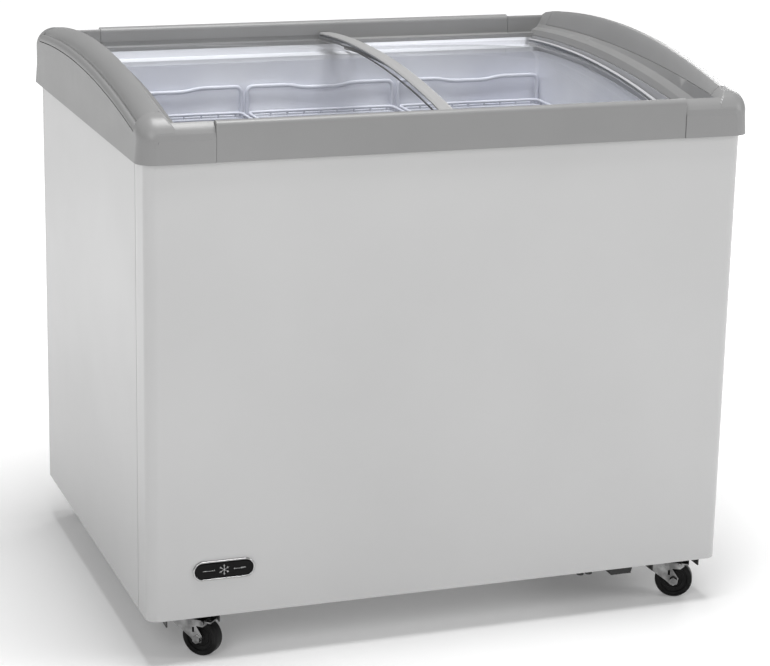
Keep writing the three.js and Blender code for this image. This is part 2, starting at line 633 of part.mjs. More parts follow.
// A rocking brake on the fork's outer front, with a tread tab that sticks out over the wheel.
function brakeLever() {
  const y = -(FORK_INNER + FORK_SHEET + GAP);
  const strap = alongY([[10, -20], [34, -20], [40, -15], [40, -10.2], [10, -10.2]], y - 2.4, y);
  const pivot = cylinder(3.4, 2, 'y', [33, y - 3.2, -13.5], 12);
  const tab = box(36, 47, y - 2.4, 9, -12.5, -10.2);
  return strap.add(pivot).add(tab);
}

function caster(label, x, y, angle, hasBrake) {
  const seat = -RAIL_SHEET - 2 * GAP;
  const wheelZ = WHEEL_RADIUS - CASTER_HEIGHT - seat;
  const group = new THREE.Group();
  group.position.set(x, y, CASTER_HEIGHT + seat);
  group.rotation.z = angle;
  const wheel = piece(`${label}_wheel`, casterWheel(), BLACK_RUBBER);
  const axle = piece(`${label}_axle`, casterAxle(), ZINC);
  wheel.position.set(CASTER_TRAIL, 0, wheelZ);
  axle.position.set(CASTER_TRAIL, 0, wheelZ);
  const plate = piece(`${label}_plate`, casterPlate(), ZINC);
  plate.rotation.z = -angle;
  group.add(plate, piece(`${label}_fork`, casterFork(wheelZ), ZINC), wheel, axle);
  if (hasBrake) group.add(piece(`${label}_brake`, brakeLever(), ZINC));
  return group;
}

// ---------- assembly ----------
const cabinet = new THREE.Group();
cabinet.position.z = CASTER_HEIGHT;
cabinet.add(
  ...panels(), innerLiner(), foamInsulation(), ...hangers(), ...base(),
  ...topFrame(), ...openingProfiles(), ...upperLid(), ...lowerLid(),
  basket('basket_left', -BASKET_PITCH), basket('basket_centre', 0), basket('basket_right', BASKET_PITCH),
  ...coolingUnit(), ventGrille(), ...thermostat(), ...serviceParts(), ...badge());

const freezer = new THREE.Group();
freezer.add(
  cabinet,
  caster('front_left', -CASTER_X, -CASTER_Y, -Math.PI / 4, true),
  caster('front_right', CASTER_X, -CASTER_Y, -0.48, true),
  caster('rear_left', -CASTER_X, CASTER_Y, 2.2, false),
  caster('rear_right', CASTER_X, CASTER_Y, 0.9, false));

export default freezer;
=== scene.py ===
import json
import math
import bmesh
import bpy
from mathutils import Matrix, Vector


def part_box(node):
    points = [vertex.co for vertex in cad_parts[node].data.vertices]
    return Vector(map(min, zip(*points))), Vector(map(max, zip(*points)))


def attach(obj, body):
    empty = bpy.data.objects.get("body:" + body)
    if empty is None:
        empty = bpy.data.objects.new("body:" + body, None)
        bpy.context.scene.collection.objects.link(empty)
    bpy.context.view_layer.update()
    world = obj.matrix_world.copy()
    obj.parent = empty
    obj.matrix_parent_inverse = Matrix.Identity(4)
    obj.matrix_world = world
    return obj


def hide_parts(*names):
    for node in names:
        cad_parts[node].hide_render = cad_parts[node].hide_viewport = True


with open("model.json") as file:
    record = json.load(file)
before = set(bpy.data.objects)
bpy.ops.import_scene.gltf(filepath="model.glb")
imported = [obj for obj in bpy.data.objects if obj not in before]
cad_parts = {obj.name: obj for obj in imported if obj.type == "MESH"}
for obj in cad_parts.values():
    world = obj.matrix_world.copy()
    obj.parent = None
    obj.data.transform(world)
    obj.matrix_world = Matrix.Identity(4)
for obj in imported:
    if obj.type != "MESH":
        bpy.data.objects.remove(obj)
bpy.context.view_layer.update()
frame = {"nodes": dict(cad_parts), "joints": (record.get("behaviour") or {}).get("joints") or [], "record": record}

# ---------- driving dimensions, in millimetres, with heights from the cabinet's bottom edge ----------
MM = 0.001
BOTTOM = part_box("front_panel")[0].z / MM
BODY_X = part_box("front_panel")[1].x / MM
BODY_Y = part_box("back_panel")[1].y / MM
BODY_CORNER = 18
PANEL_TOP = 688
WRAP = 59
SHEET = 1.2
FRAME_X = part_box("right_end_cap")[1].x / MM
FRAME_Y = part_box("right_end_cap")[1].y / MM
FRAME_CORNER = 28
LIP = 667
FRAME_FLOOR = 648
BELOW_FRAME = 600
ABOVE_FRAME = 800
FRONT_TOP = 724.5
BACK_TOP = 748.5
BACK_STEP = (320, 712, 718.5)  # how far in it reaches, its underside and its top
COVER_SPAN = (-311, 301)
COVER_SEAM = 0.6
CAP_START = 355
CAP_SEAM = 0.35
PROUD = 0.8
FLARE = 2.5
RAIL_INNER = 333.5
RAIL_ROUND = 7
RETURN_ROUND = 12
STRIP_WALL_X = 398
LIP_EDGE = 0.8
LIDS = {"upper": (738, -331, 330), "lower": (718, -319, 317)}  # highest point, front end and back end
LID_PEAK_Y = 150
LID_RADIUS = 2100
GLASS_DROP = 4
GLASS = 4
GLASS_PLAY = 0.4
SLOT_TOP = GLASS_DROP - GLASS_PLAY
SLOT_BOTTOM = GLASS_DROP + GLASS + GLASS_PLAY
TRIM = 11
TRIM_EDGE = 0.8
GLASS_SLOT = 8.3
SEAL_WIDTH = 2.6
LOWER_EDGING = (54, 59.5)
LOWER_EDGING_SLOT = 2.4
LOWER_EDGING_TOP = 3
LOWER_EDGING_BOTTOM = 9
SIDE_EDGING = 9
SIDE_SLOT = 3.4
LOWER_TRIM_TOP = 2
LOWER_TRIM_BOTTOM = 10
BASKET_RIM = 610
BASKET_END = 272
BASKET_WIRE = 1.6
BASKET_RIM_WIRE = 2.6
BASKET_LOOP_WIRE = 3.6
BASKET_LOOP_INSET = 3.75
BASKET_INSET = 3
WIRE_SIDES = 8
WHEEL_R = 29
WHEEL_W = 21
EDGE_ANGLE = 35
CROWN_X = FRAME_X - 36


def arc(peak_y, peak_z, radius):
    return lambda y: peak_z - radius + math.sqrt(radius ** 2 - (y - peak_y) ** 2)


groove_line = arc(100, 745, 2080)
ridge_line = arc(60, 774, 1750)
# the steps on the end caps' inner side, from the slope's foot to the opening: x, and the height along y
INNER_LINES = [(412, arc(60, 743, 3200)), (408, arc(100, 738, 2300)),
               (400, arc(120, 732, 2300)), (396, arc(130, 722, 2600))]


def steps(start, end, count):
    return [start + (end - start) * i / count for i in range(count + 1)]


# ---------- materials ----------
class Nodes:
    """A short way to write a material's nodes."""

    def __init__(self, name, color, roughness, metallic=0.0):
        self.material = bpy.data.materials.new(name)
        self.material.use_nodes = True
        self.tree = self.material.node_tree
        self.shader = self.tree.nodes["Principled BSDF"]
        self.shader.inputs["Base Color"].default_value = (*color, 1)
        self.shader.inputs["Roughness"].default_value = roughness
        self.shader.inputs["Metallic"].default_value = metallic

    def add(self, kind, **values):
        node = self.tree.nodes.new(kind)
        for key, value in values.items():
            if key in node.inputs:
                node.inputs[key].default_value = value
            else:
                setattr(node, key, value)
        return node

    def link(self, source, target):
        self.tree.links.new(source, target)

    def noise(self, scale, detail=3.0, stretch=(1, 1, 1)):
        place = self.add("ShaderNodeTexCoord")
        mapping = self.add("ShaderNodeMapping", Scale=stretch)
        noise = self.add("ShaderNodeTexNoise", Scale=scale, Detail=detail)
        self.link(place.outputs["Object"], mapping.inputs["Vector"])
        self.link(mapping.outputs["Vector"], noise.inputs["Vector"])
        return noise.outputs["Fac"]

    def ramp(self, source, stops):
        node = self.add("ShaderNodeValToRGB")
        for element, (place, color) in zip(node.color_ramp.elements, stops):
            element.position = place
            element.color = (*color, 1)
        self.link(source, node.inputs["Fac"])
        return node.outputs["Color"]

    def span(self, source, low, high, start=0.0, end=1.0, shape="LINEAR"):
        """Goes from low to high as the source goes from start to end."""
        node = self.add("ShaderNodeMapRange", interpolation_type=shape)
        for label, value in (("From Min", start), ("From Max", end), ("To Min", low), ("To Max", high)):
            node.inputs[label].default_value = value
        self.link(source, node.inputs["Value"])
        return node.outputs["Result"]

    def tint(self, source, low, high):
        self.link(self.ramp(source, [(0.35, low), (0.65, high)]), self.shader.inputs["Base Color"])

    def fade(self, axis, start, end, low, high):
        """Paints shade: multiplies the tint by a grey that goes from low to high as the distance on one axis
        grows.
        """
        color = self.shader.inputs["Base Color"].links[0].from_socket
        place = self.add("ShaderNodeTexCoord")
        split = self.add("ShaderNodeSeparateXYZ")
        self.link(place.outputs["Object"], split.inputs["Vector"])
        size = self.add("ShaderNodeMath", operation="ABSOLUTE")
        self.link(split.outputs[axis], size.inputs[0])
        scale = self.add("ShaderNodeVectorMath", operation="SCALE")
        self.link(color, scale.inputs[0])
        share = self.span(size.outputs["Value"], low, high, start, end, "SMOOTHSTEP")
        self.link(share, scale.inputs["Scale"])
        self.link(scale.outputs["Vector"], self.shader.inputs["Base Color"])

    def gloss(self, source, low, high):
        self.link(self.span(source, low, high), self.shader.inputs["Roughness"])

    def bump(self, source, strength, distance):
        bump = self.add("ShaderNodeBump", Strength=strength, Distance=distance)
        self.link(source, bump.inputs["Height"])
        self.link(bump.outputs["Normal"], self.shader.inputs["Normal"])


def grey(value):
    return (value, value, value)


def white_steel():
    m = Nodes("white_steel", grey(0.5), 0.4)
    m.tint(m.noise(2.4, 4), grey(0.485), grey(0.515))
    m.gloss(m.noise(9, 3), 0.26, 0.34)
    m.bump(m.noise(420, 2), 0.06, 0.0004)
    return m.material


def frame_plastic():
    m = Nodes("frame_plastic", grey(0.24), 0.38)
    m.tint(m.noise(5, 4), grey(0.232), grey(0.25))
    m.gloss(m.noise(14, 3), 0.33, 0.43)
    m.bump(m.noise(900, 2), 0.08, 0.0003)
    return m.material


def trim_plastic():
    m = Nodes("trim_plastic", grey(0.33), 0.36)
    m.tint(m.noise(6, 3, (1, 0.2, 1)), grey(0.315), grey(0.35))
    # painted shade: the trim is painted darker towards the end caps, from |x| 0.30 m to 0.37 m
    m.fade("X", 0.30, 0.37, 1.0, 0.62)
    m.gloss(m.noise(30, 3), 0.3, 0.42)
    m.bump(m.noise(700, 2), 0.06, 0.0003)
    return m.material


def seal_rubber():
    m = Nodes("seal_rubber", grey(0.015), 0.6)
    m.tint(m.noise(40, 3), grey(0.012), grey(0.022))
    m.bump(m.noise(600, 3), 0.15, 0.0003)
    return m.material


def liner_metal():
    m = Nodes("liner_metal", (0.80, 0.81, 0.87), 0.38, 0.1)
    m.tint(m.noise(4.5, 5, (1, 1, 0.7)), (0.78, 0.79, 0.86), (0.95, 0.955, 0.985))
    # painted shade and light: the liner is painted darker deeper down and brighter near the top of the well
    m.fade("Z", 0.48, 0.71, 0.6, 1.0)
    m.gloss(m.noise(18, 4), 0.28, 0.5)
    m.bump(m.noise(26, 3), 0.35, 0.0015)
    return m.material


def basket_coating():
    m = Nodes("basket_coating", (0.66, 0.67, 0.73), 0.4)
    m.tint(m.noise(20, 3), (0.62, 0.63, 0.70), (0.70, 0.71, 0.77))
    m.bump(m.noise(500, 2), 0.1, 0.0003)
    return m.material


def white_plastic():
    m = Nodes("white_plastic", (0.90, 0.905, 0.94), 0.5)
    m.tint(m.noise(8, 3), (0.88, 0.885, 0.92), (0.92, 0.925, 0.96))
    # painted shade: the white plastic is painted darker beyond |x| 0.386 m, beside the end caps
    m.fade("X", 0.381, 0.386, 0.92, 0.46)
    m.bump(m.noise(500, 2), 0.06, 0.0003)
    return m.material


def zinc_plate():
    m = Nodes("zinc_plate", grey(0.52), 0.3, 1.0)
    m.tint(m.noise(60, 5), grey(0.12), grey(0.32))
    m.gloss(m.noise(120, 4), 0.14, 0.3)
    m.bump(m.noise(300, 3, (1, 1, 0.3)), 0.12, 0.0003)
    return m.material


def zinc_sheet():
    m = Nodes("zinc_sheet", grey(0.5), 0.45, 0.9)
    m.tint(m.noise(25, 5), grey(0.4), grey(0.55))
    m.gloss(m.noise(30, 4), 0.35, 0.55)
    return m.material


def black_steel():
    m = Nodes("black_steel", grey(0.02), 0.45)
    m.tint(m.noise(30, 4), grey(0.014), grey(0.03))
    m.gloss(m.noise(50, 3), 0.38, 0.55)
    m.bump(m.noise(350, 2), 0.12, 0.0003)
    return m.material


def wheel_black():
    m = Nodes("wheel_black", grey(0.01), 0.32)
    m.shader.inputs["Specular IOR Level"].default_value = 0.09
    m.tint(m.noise(45, 5), grey(0.006), grey(0.018))
    m.gloss(m.noise(70, 4), 0.24, 0.46)
    m.bump(m.noise(260, 3), 0.1, 0.0003)
    return m.material


def gloss_black():
    m = Nodes("gloss_black", grey(0.006), 0.1)
    m.shader.inputs["Specular IOR Level"].default_value = 0.09
    m.gloss(m.noise(35, 3), 0.07, 0.16)
    m.bump(m.noise(80, 2), 0.03, 0.0002)
    return m.material


def bright_metal():
    m = Nodes("bright_metal", grey(0.46), 0.14, 1.0)
    m.gloss(m.noise(90, 3), 0.1, 0.22)
    return m.material


def copper_tube():
    m = Nodes("copper_tube", (0.6, 0.3, 0.18), 0.3, 1.0)
    m.tint(m.noise(40, 4), (0.45, 0.2, 0.12), (0.66, 0.36, 0.24))
    return m.material


def foam_block():
    m = Nodes("foam_block", (0.8, 0.7, 0.45), 0.9)
    m.tint(m.noise(60, 4), (0.72, 0.62, 0.38), (0.84, 0.75, 0.5))
    m.bump(m.noise(300, 3), 0.4, 0.001)
    return m.material


def lid_glass():
    """Clear sheet glass: outer faces mirror more at a slant, and the rest goes straight through."""
    m = Nodes("lid_glass", (0.9, 0.95, 0.96), 0.03)
    clear = m.add("ShaderNodeBsdfTransparent")
    clear.inputs["Color"].default_value = (0.985, 0.99, 0.995, 1)
    mirror = m.add("ShaderNodeBsdfGlossy", Roughness=0.02)
    fresnel = m.add("ShaderNodeFresnel", IOR=1.22)
    side = m.add("ShaderNodeNewGeometry")
    outer_face = m.add("ShaderNodeMath", operation="SUBTRACT")
    outer_face.inputs[0].default_value = 1
    m.link(side.outputs["Backfacing"], outer_face.inputs[1])
    share = m.add("ShaderNodeMath", operation="MULTIPLY")
    m.link(fresnel.outputs["Fac"], share.inputs[0])
    m.link(outer_face.outputs["Value"], share.inputs[1])
    mix = m.add("ShaderNodeMixShader")
    m.link(share.outputs["Value"], mix.inputs[0])
    m.link(clear.outputs["BSDF"], mix.inputs[1])
    m.link(mirror.outputs["BSDF"], mix.inputs[2])
    m.link(mix.outputs["Shader"], m.tree.nodes["Material Output"].inputs["Surface"])
    return m.material


MATERIALS = {
    "white_steel": white_steel(), "grey_frame": frame_plastic(), "light_trim": trim_plastic(),
    "black_rubber": seal_rubber(), "liner": liner_metal(), "basket_wire": basket_coating(),
    "white_plastic": white_plastic(),
    "zinc": zinc_plate(), "zinc_sheet": zinc_sheet(), "black_steel": black_steel(),
    "black_wheel": wheel_black(), "black_plastic": gloss_black(), "chrome_trim": bright_metal(),
    "copper": copper_tube(), "foam": foam_block(), "lid_glass": lid_glass(),
}


# ---------- mesh helpers ----------
def raw_object(name, verts, faces):
    mesh = bpy.data.meshes.new(name)
    mesh.from_pydata([(x * MM, y * MM, (z + BOTTOM) * MM) for x, y, z in verts], [], faces)
    obj = bpy.data.objects.new(name, mesh)
    bpy.context.scene.collection.objects.link(obj)
    shell = bmesh.new()
    shell.from_mesh(mesh)
    bmesh.ops.remove_doubles(shell, verts=shell.verts, dist=1e-7)
    bmesh.ops.recalc_face_normals(shell, faces=shell.faces)
    shell.to_mesh(mesh)
    shell.free()
    return obj


def loft(name, rings, closed_path=False):
    """Joins rings of equal length into a tube with closed ends, or, on a closed path, back to the first."""
    count = len(rings[0])
    verts = [p for ring in rings for p in ring]
    faces = []
    spans = len(rings) if closed_path else len(rings) - 1
    for i in range(spans):
        a = i * count
        b = ((i + 1) % len(rings)) * count
        for j in range(count):
            k = (j + 1) % count
            faces.append((a + j, a + k, b + k, b + j))
    if not closed_path:
        faces.append(tuple(range(count))[::-1])
        faces.append(tuple((len(rings) - 1) * count + j for j in range(count)))
    return raw_object(name, verts, faces)


def along_x(name, outline, x0, x1):
    return loft(name, [[(x, y, z) for y, z in outline] for x in (x0, x1)])


def along_z(name, outline, z0, z1):
    return loft(name, [[(x, y, z) for x, y in outline] for z in (z0, z1)])


def rounded_rect(half_x, half_y, radius, segments=12):
    points = []
    for k, (sx, sy) in enumerate(((1, -1), (1, 1), (-1, 1), (-1, -1))):
        for t in steps(0, math.pi / 2, segments):
            angle = t + (k - 1) * math.pi / 2
            points.append((sx * (half_x - radius) + radius * math.cos(angle),
                           sy * (half_y - radius) + radius * math.sin(angle)))
    return points


def settle(obj):
    """Replaces an object's mesh by what its modifiers make of it."""
    graph = bpy.context.evaluated_depsgraph_get()
    mesh = bpy.data.meshes.new_from_object(obj.evaluated_get(graph))
    obj.modifiers.clear()
    obj.data = mesh
    return obj


def cut(obj, tool, operation):
    """Applies an exact boolean with the tool, and removes the tool."""
    modifier = obj.modifiers.new("cut", "BOOLEAN")
    modifier.operation = operation
    modifier.solver = "EXACT"
    modifier.object = tool
    settle(obj)
    bpy.data.objects.remove(tool)
    return obj


def copy_of(obj, name):
    twin = obj.copy()
    twin.data = obj.data.copy()
    twin.name = name
    bpy.context.scene.collection.objects.link(twin)
    return twin


def mirror_x(obj, name):
    twin = copy_of(obj, name)
    twin.data.transform(Matrix.Scale(-1, 4, Vector((1, 0, 0))))
    twin.data.flip_normals()
    return twin


def soften(obj, width, segments=3, angle=EDGE_ANGLE):
    """Rounds the sharp edges by width millimetres and shades the rest smooth."""
    obj.data.shade_smooth()
    obj.data.set_sharp_from_angle(angle=math.radians(angle))
    if width:
        modifier = obj.modifiers.new("bevel", "BEVEL")
        modifier.width = width * MM
        modifier.segments = segments
        modifier.limit_method = "ANGLE"
        modifier.angle_limit = math.radians(angle)
        modifier.harden_normals = True
    return obj


def finish_piece(obj, name, slot, body="root", replaces=()):
    obj.name = name
    obj.data.name = name
    obj.data.materials.clear()
    obj.data.materials.append(MATERIALS[slot])
    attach(obj, body)
    if replaces:
        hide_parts(*replaces)
    return obj


def tube(points, radius, closed):
    """Rings of a round wire along points in millimetres."""
    count = len(points)
    rings = []
    normal = None
    for i, p in enumerate(points):
        before = points[(i - 1) % count] if (closed or i > 0) else p
        after = points[(i + 1) % count] if (closed or i < count - 1) else p
        along = (Vector(after) - Vector(before)).normalized()
        if normal is None:
            normal = along.orthogonal().normalized()
        normal = (normal - along * normal.dot(along)).normalized()
        side = along.cross(normal)
        rings.append([tuple(Vector(p) + radius * (normal * math.cos(a) + side * math.sin(a)))
                      for a in (2 * math.pi * k / WIRE_SIDES for k in range(WIRE_SIDES))])
    return rings


def rounded_path(points, radius, segments=6, closed=False):
    """The same route with its corners turned into arcs."""
    route = []
    count = len(points)
    for i, p in enumerate(points):
        if not closed and i in (0, count - 1):
            route.append(tuple(p))
            continue
        here = Vector(p)
        back = (Vector(points[i - 1]) - here).normalized()
        ahead = (Vector(points[(i + 1) % count]) - here).normalized()
        start = here + back * radius
        end = here + ahead * radius
        for t in steps(0, 1, segments):
            route.append(tuple(start * (1 - t) ** 2 + here * 2 * t * (1 - t) + end * t ** 2))
    return route


def wires(name, routes):
    """Many wires as one mesh. Each route is (points, radius, closed)."""
    verts = []
    faces = []
    for points, radius, closed in routes:
        rings = tube(points, radius, closed)
        base = len(verts)
        verts += [p for ring in rings for p in ring]
        spans = len(rings) if closed else len(rings) - 1
        for i in range(spans):
            a = base + i * WIRE_SIDES
            b = base + ((i + 1) % len(rings)) * WIRE_SIDES
            faces += [(a + j, a + (j + 1) % WIRE_SIDES, b + (j + 1) % WIRE_SIDES, b + j)
                      for j in range(WIRE_SIDES)]
        if not closed:
            faces.append(tuple(base + j for j in range(WIRE_SIDES))[::-1])
            faces.append(tuple(base + (len(rings) - 1) * WIRE_SIDES + j for j in range(WIRE_SIDES)))
    obj = raw_object(name, verts, faces)
    obj.data.shade_smooth()
    obj.data.set_sharp_from_angle(angle=math.radians(50))
    return obj


def lathe_y(name, profile):
    """A profile of (radius, y) turned about the Y axis through the origin, as a closed ring."""
    segments = 64
    rings = []
    for k in range(segments):
        a = 2 * math.pi * k / segments
        rings.append([(r * math.cos(a), y, r * math.sin(a)) for r, y in profile])
    return loft(name, rings, closed_path=True)


# ---------- cabinet ----------
def front_panel():
    """The front sheet: it wraps both corners and ends in a small folded hem on each side."""
    seam = WRAP - BODY_Y
    centre_x, centre_y = BODY_X - BODY_CORNER, BODY_CORNER - BODY_Y

    def corner(radius):
        return [(centre_x + radius * math.cos(t), centre_y + radius * math.sin(t))
                for t in steps(-math.pi / 2, 0, 20)]

    side_start = centre_y + 4
    fold_x, fold_y = BODY_X - SHEET - 3, seam - 0.1
    side = [(BODY_X, y) for y in steps(side_start, seam - 1.6, 3)]
    hem = [(BODY_X - 0.2, seam - 0.7), (BODY_X - 0.9, fold_y), (fold_x, fold_y), (fold_x, fold_y - SHEET)]
    skin = corner(BODY_CORNER) + side + hem
    inner_x = BODY_X - SHEET
    inner = [(inner_x, seam - 3.8), (inner_x, side_start)] + corner(BODY_CORNER - SHEET)[::-1]
    outline = [(-x, y) for x, y in reversed(skin)] + skin + inner + [(-x, y) for x, y in reversed(inner)]
    obj = along_z("front_panel_skin", outline, 0, PANEL_TOP)
    soften(obj, 0.35, 2, 40)
    finish_piece(obj, "front_panel_skin", "white_steel", replaces=("front_panel",))


# ---------- grey top frame ----------
def rail_outline(side, top, proud, outer_round=RAIL_ROUND):
    """A wall with a rounded top, in (y, z). side is -1 at the front and 1 at the back."""
    face = FRAME_Y - PROUD + proud
    middle, reach = (face + RAIL_INNER) / 2, (face - RAIL_INNER) / 2
    crown = []
    for t in steps(0, math.pi, 20):
        drop = outer_round if t < math.pi / 2 else RAIL_ROUND
        crown.append((side * (middle + reach * math.cos(t)), top + proud - drop + drop * math.sin(t)))
    y, low, high = BACK_STEP
    step = [] if side < 0 else [(RAIL_INNER, high), (y, high), (y, low), (RAIL_INNER, low)]
    return [(side * face, FRAME_FLOOR)] + crown + step + [(side * RAIL_INNER, FRAME_FLOOR)]


def corner_reach(y):
    """How far the ball-shaped corner still reaches out at y."""
    run = min(max(0.0, abs(y) - FRAME_Y + FRAME_CORNER), FRAME_CORNER)
    return math.sqrt(FRAME_CORNER ** 2 - run ** 2)


def round_corner(y, height, count):
    """The ball-shaped corner's outline at y, from the side up to the top."""
    reach = corner_reach(y)
    return [(FRAME_X - FRAME_CORNER + reach * math.cos(t), height - FRAME_CORNER + reach * math.sin(t))
            for t in steps(0, math.pi / 2, count)]


def cap_return(side, top):
    """The part of a rail that the end cap carries, rounded down to the side at the corner."""
    height = top + PROUD
    end = FRAME_X + FLARE
    rings = []
    for y in [BACK_STEP[0] - 1] + steps(FRAME_Y - FRAME_CORNER, FRAME_Y - 0.1, 14):
        crest = height - FRAME_CORNER + corner_reach(y)
        foot = [(CAP_START - 1, BELOW_FRAME), (end, BELOW_FRAME), (end, LIP)]
        outline = foot + round_corner(y, height, 16) + [(CAP_START - 1, crest)]
        rings.append([(x, side * y, z) for x, z in outline])
    piece = along_x("return", rail_outline(side, top, PROUD, RETURN_ROUND), CAP_START, end)
    return cut(piece, loft("limit", rings), "INTERSECT")


def crown_outline(y):
    """The end cap between its side and its highest line. Past the cover's ends it is one round corner."""
    groove = groove_line(y)
    ridge = ridge_line(y)
    edge_width, edge_height = 6, 11
    dip = (FRAME_X - 7.5, groove + 10.4)
    crown_width, shoulder = 27.5, groove + 11.5
    side = [(FRAME_X - edge_width + edge_width * math.cos(t), groove + edge_height * math.sin(t))
            for t in steps(0.2, math.pi / 2, 8)]
    top = [(CROWN_X + crown_width * math.cos(t), shoulder + (ridge - shoulder) * math.sin(t))
           for t in steps(0, math.pi / 2, 12)]
    outline = [(FRAME_X, groove)] + side + [dip] + top
    if COVER_SPAN[0] - COVER_SEAM <= y <= COVER_SPAN[1] + COVER_SEAM:
        return outline
    return round_corner(y, ridge, len(outline) - 1)


def cap_section(y):
    """The end cap's outline at one place along its length: side, crown, inner slope and lid steps."""
    ridge = ridge_line(y)
    limit = ridge - FRAME_CORNER + corner_reach(y)
    points = [(FRAME_X + FLARE, FRAME_FLOOR), (FRAME_X + FLARE, LIP)] + crown_outline(y)
    foot_x, foot_line = INNER_LINES[0]
    foot = foot_line(y)
    fullness = 1.3
    points += [(CROWN_X - (CROWN_X - foot_x) * t, ridge - (ridge - foot) * t ** fullness)
               for t in steps(1 / 9, 1, 8)]
    points += [(x, line(y)) for x, line in INNER_LINES[1:]]
    lip_x, lip = points[-1]
    points += [(lip_x, lip - LIP_EDGE), (STRIP_WALL_X, lip - LIP_EDGE), (STRIP_WALL_X, FRAME_FLOOR)]
    return [(x, y, min(z, limit)) for x, z in points]


def frame_cutter(name):
    """What the frame leaves free: the room for the cabinet's panels, and all round them below the lip."""
    room, seat, around, segments = 0.5, SHEET + 0.7, 30, 16
    below = along_z(name, rounded_rect(BODY_X + around, BODY_Y + around, 2), BELOW_FRAME, LIP)
    panels = rounded_rect(BODY_X + room, BODY_Y + room, BODY_CORNER + room, segments)
    cut(below, along_z("slot", panels, BELOW_FRAME + 10, PANEL_TOP + 0.6), "UNION")
    inside = rounded_rect(BODY_X - seat, BODY_Y - seat, BODY_CORNER - 2, segments)
    return cut(below, along_z("core", inside, BELOW_FRAME - 10, PANEL_TOP + 32), "DIFFERENCE")


def whole_cap():
    """The right end cap and its arch cover as one piece, with its corner returns."""
    near, end = FRAME_Y - FRAME_CORNER, FRAME_Y - 0.2
    first, last = COVER_SPAN[0] - COVER_SEAM, COVER_SPAN[1] + COVER_SEAM
    beside_seam = 0.1
    stations = [-s for s in steps(end, near, 10)] + [first - beside_seam] + steps(first, last, 40)
    stations += [last + beside_seam] + steps(near, end, 10)
    full = loft("cap", [cap_section(y) for y in stations])
    cut(full, cap_return(-1, FRONT_TOP), "UNION")
    cut(full, cap_return(1, BACK_TOP), "UNION")
    levels = ((BELOW_FRAME, FLARE), (LIP, FLARE), (FRONT_TOP - FRAME_CORNER, 0), (ABOVE_FRAME, 0))
    plan = loft("plan", [[(x, y, z) for x, y in rounded_rect(FRAME_X + out, FRAME_Y, FRAME_CORNER, 20)]
                         for z, out in levels])
    cut(full, plan, "INTERSECT")
    return cut(full, frame_cutter("below"), "DIFFERENCE")


def cover_region(name, y0, y1, outer_lift, inner_lift):
    """The space above a slanted plane that runs from the groove on the side to the inner slope's foot."""
    rings = []
    outer_x, inner_x = FRAME_X + 9, 380
    foot_x, foot_line = INNER_LINES[0]
    for y in steps(y0, y1, 30):
        groove, foot = groove_line(y), foot_line(y)
        slope = (foot - groove) / (outer_x - foot_x)
        inner = foot + slope * (foot_x - inner_x) + inner_lift
        rings.append([(outer_x, y, groove + outer_lift), (outer_x, y, ABOVE_FRAME),
                      (inner_x, y, ABOVE_FRAME), (inner_x, y, inner)])
    return loft(name, rings)


def end_caps():
    full = whole_cap()
    cover = copy_of(full, "cover")
    first, last = COVER_SPAN[0] - COVER_SEAM, COVER_SPAN[1] + COVER_SEAM
    side_gap, slope_gap = 1.5, 0.08
    cut(full, cover_region("cap_region", first, last, 0, 0), "DIFFERENCE")
    cut(cover, cover_region("cover_region", *COVER_SPAN, side_gap, slope_gap), "INTERSECT")
    for side in ("right", "left"):
        cap_piece = full if side == "right" else mirror_x(full, "cap_left")
        cover_piece = cover if side == "right" else mirror_x(cover, "cover_left")
        soften(cap_piece, 0.8, 3, 12)
        soften(cover_piece, 0.5, 3, 12)
        finish_piece(cap_piece, side + "_cap_moulding", "grey_frame", replaces=(side + "_end_cap",))
        finish_piece(cover_piece, side + "_arch_moulding", "grey_frame", replaces=(side + "_arch_cover",))


def rails():
    reach = CAP_START - CAP_SEAM
    outlines = {"front": rail_outline(-1, FRONT_TOP, 0), "back": rail_outline(1, BACK_TOP, 0)}
    for side, outline in outlines.items():
        rail = along_x(side, outline, -reach, reach)
        cut(rail, frame_cutter("below_" + side), "DIFFERENCE")
        soften(rail, 0.8, 3, 32)
        finish_piece(rail, side + "_rail_moulding", "grey_frame", replaces=(side + "_rail",))


# ---------- sliding lids ----------
def lid_strip(name, lid, section):
    """Sweeps a section of (x, drop below the lid's top) along the lid's arc."""
    peak, y0, y1 = LIDS[lid]
    top = arc(LID_PEAK_Y, peak, LID_RADIUS)
    return loft(name, [[(x, y, top(y) - drop) for x, drop in section] for y in steps(y0, y1, 56)])


def rounded_section(x0, x1, drop0, drop1, radius, segments=4):
    half_x, half_z = (x1 - x0) / 2, (drop1 - drop0) / 2
    return [(x + (x0 + x1) / 2, z + (drop0 + drop1) / 2)
            for x, z in rounded_rect(half_x, half_z, radius, segments)]


def lid_piece(node, name, lid, slot, section):
    obj = lid_strip(name, lid, section)
    soften(obj, 0, angle=45)
    finish_piece(obj, name, slot, lid + "_lid", replaces=(node,))


def node_span(node):
    low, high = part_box(node)
    return low.x / MM, high.x / MM


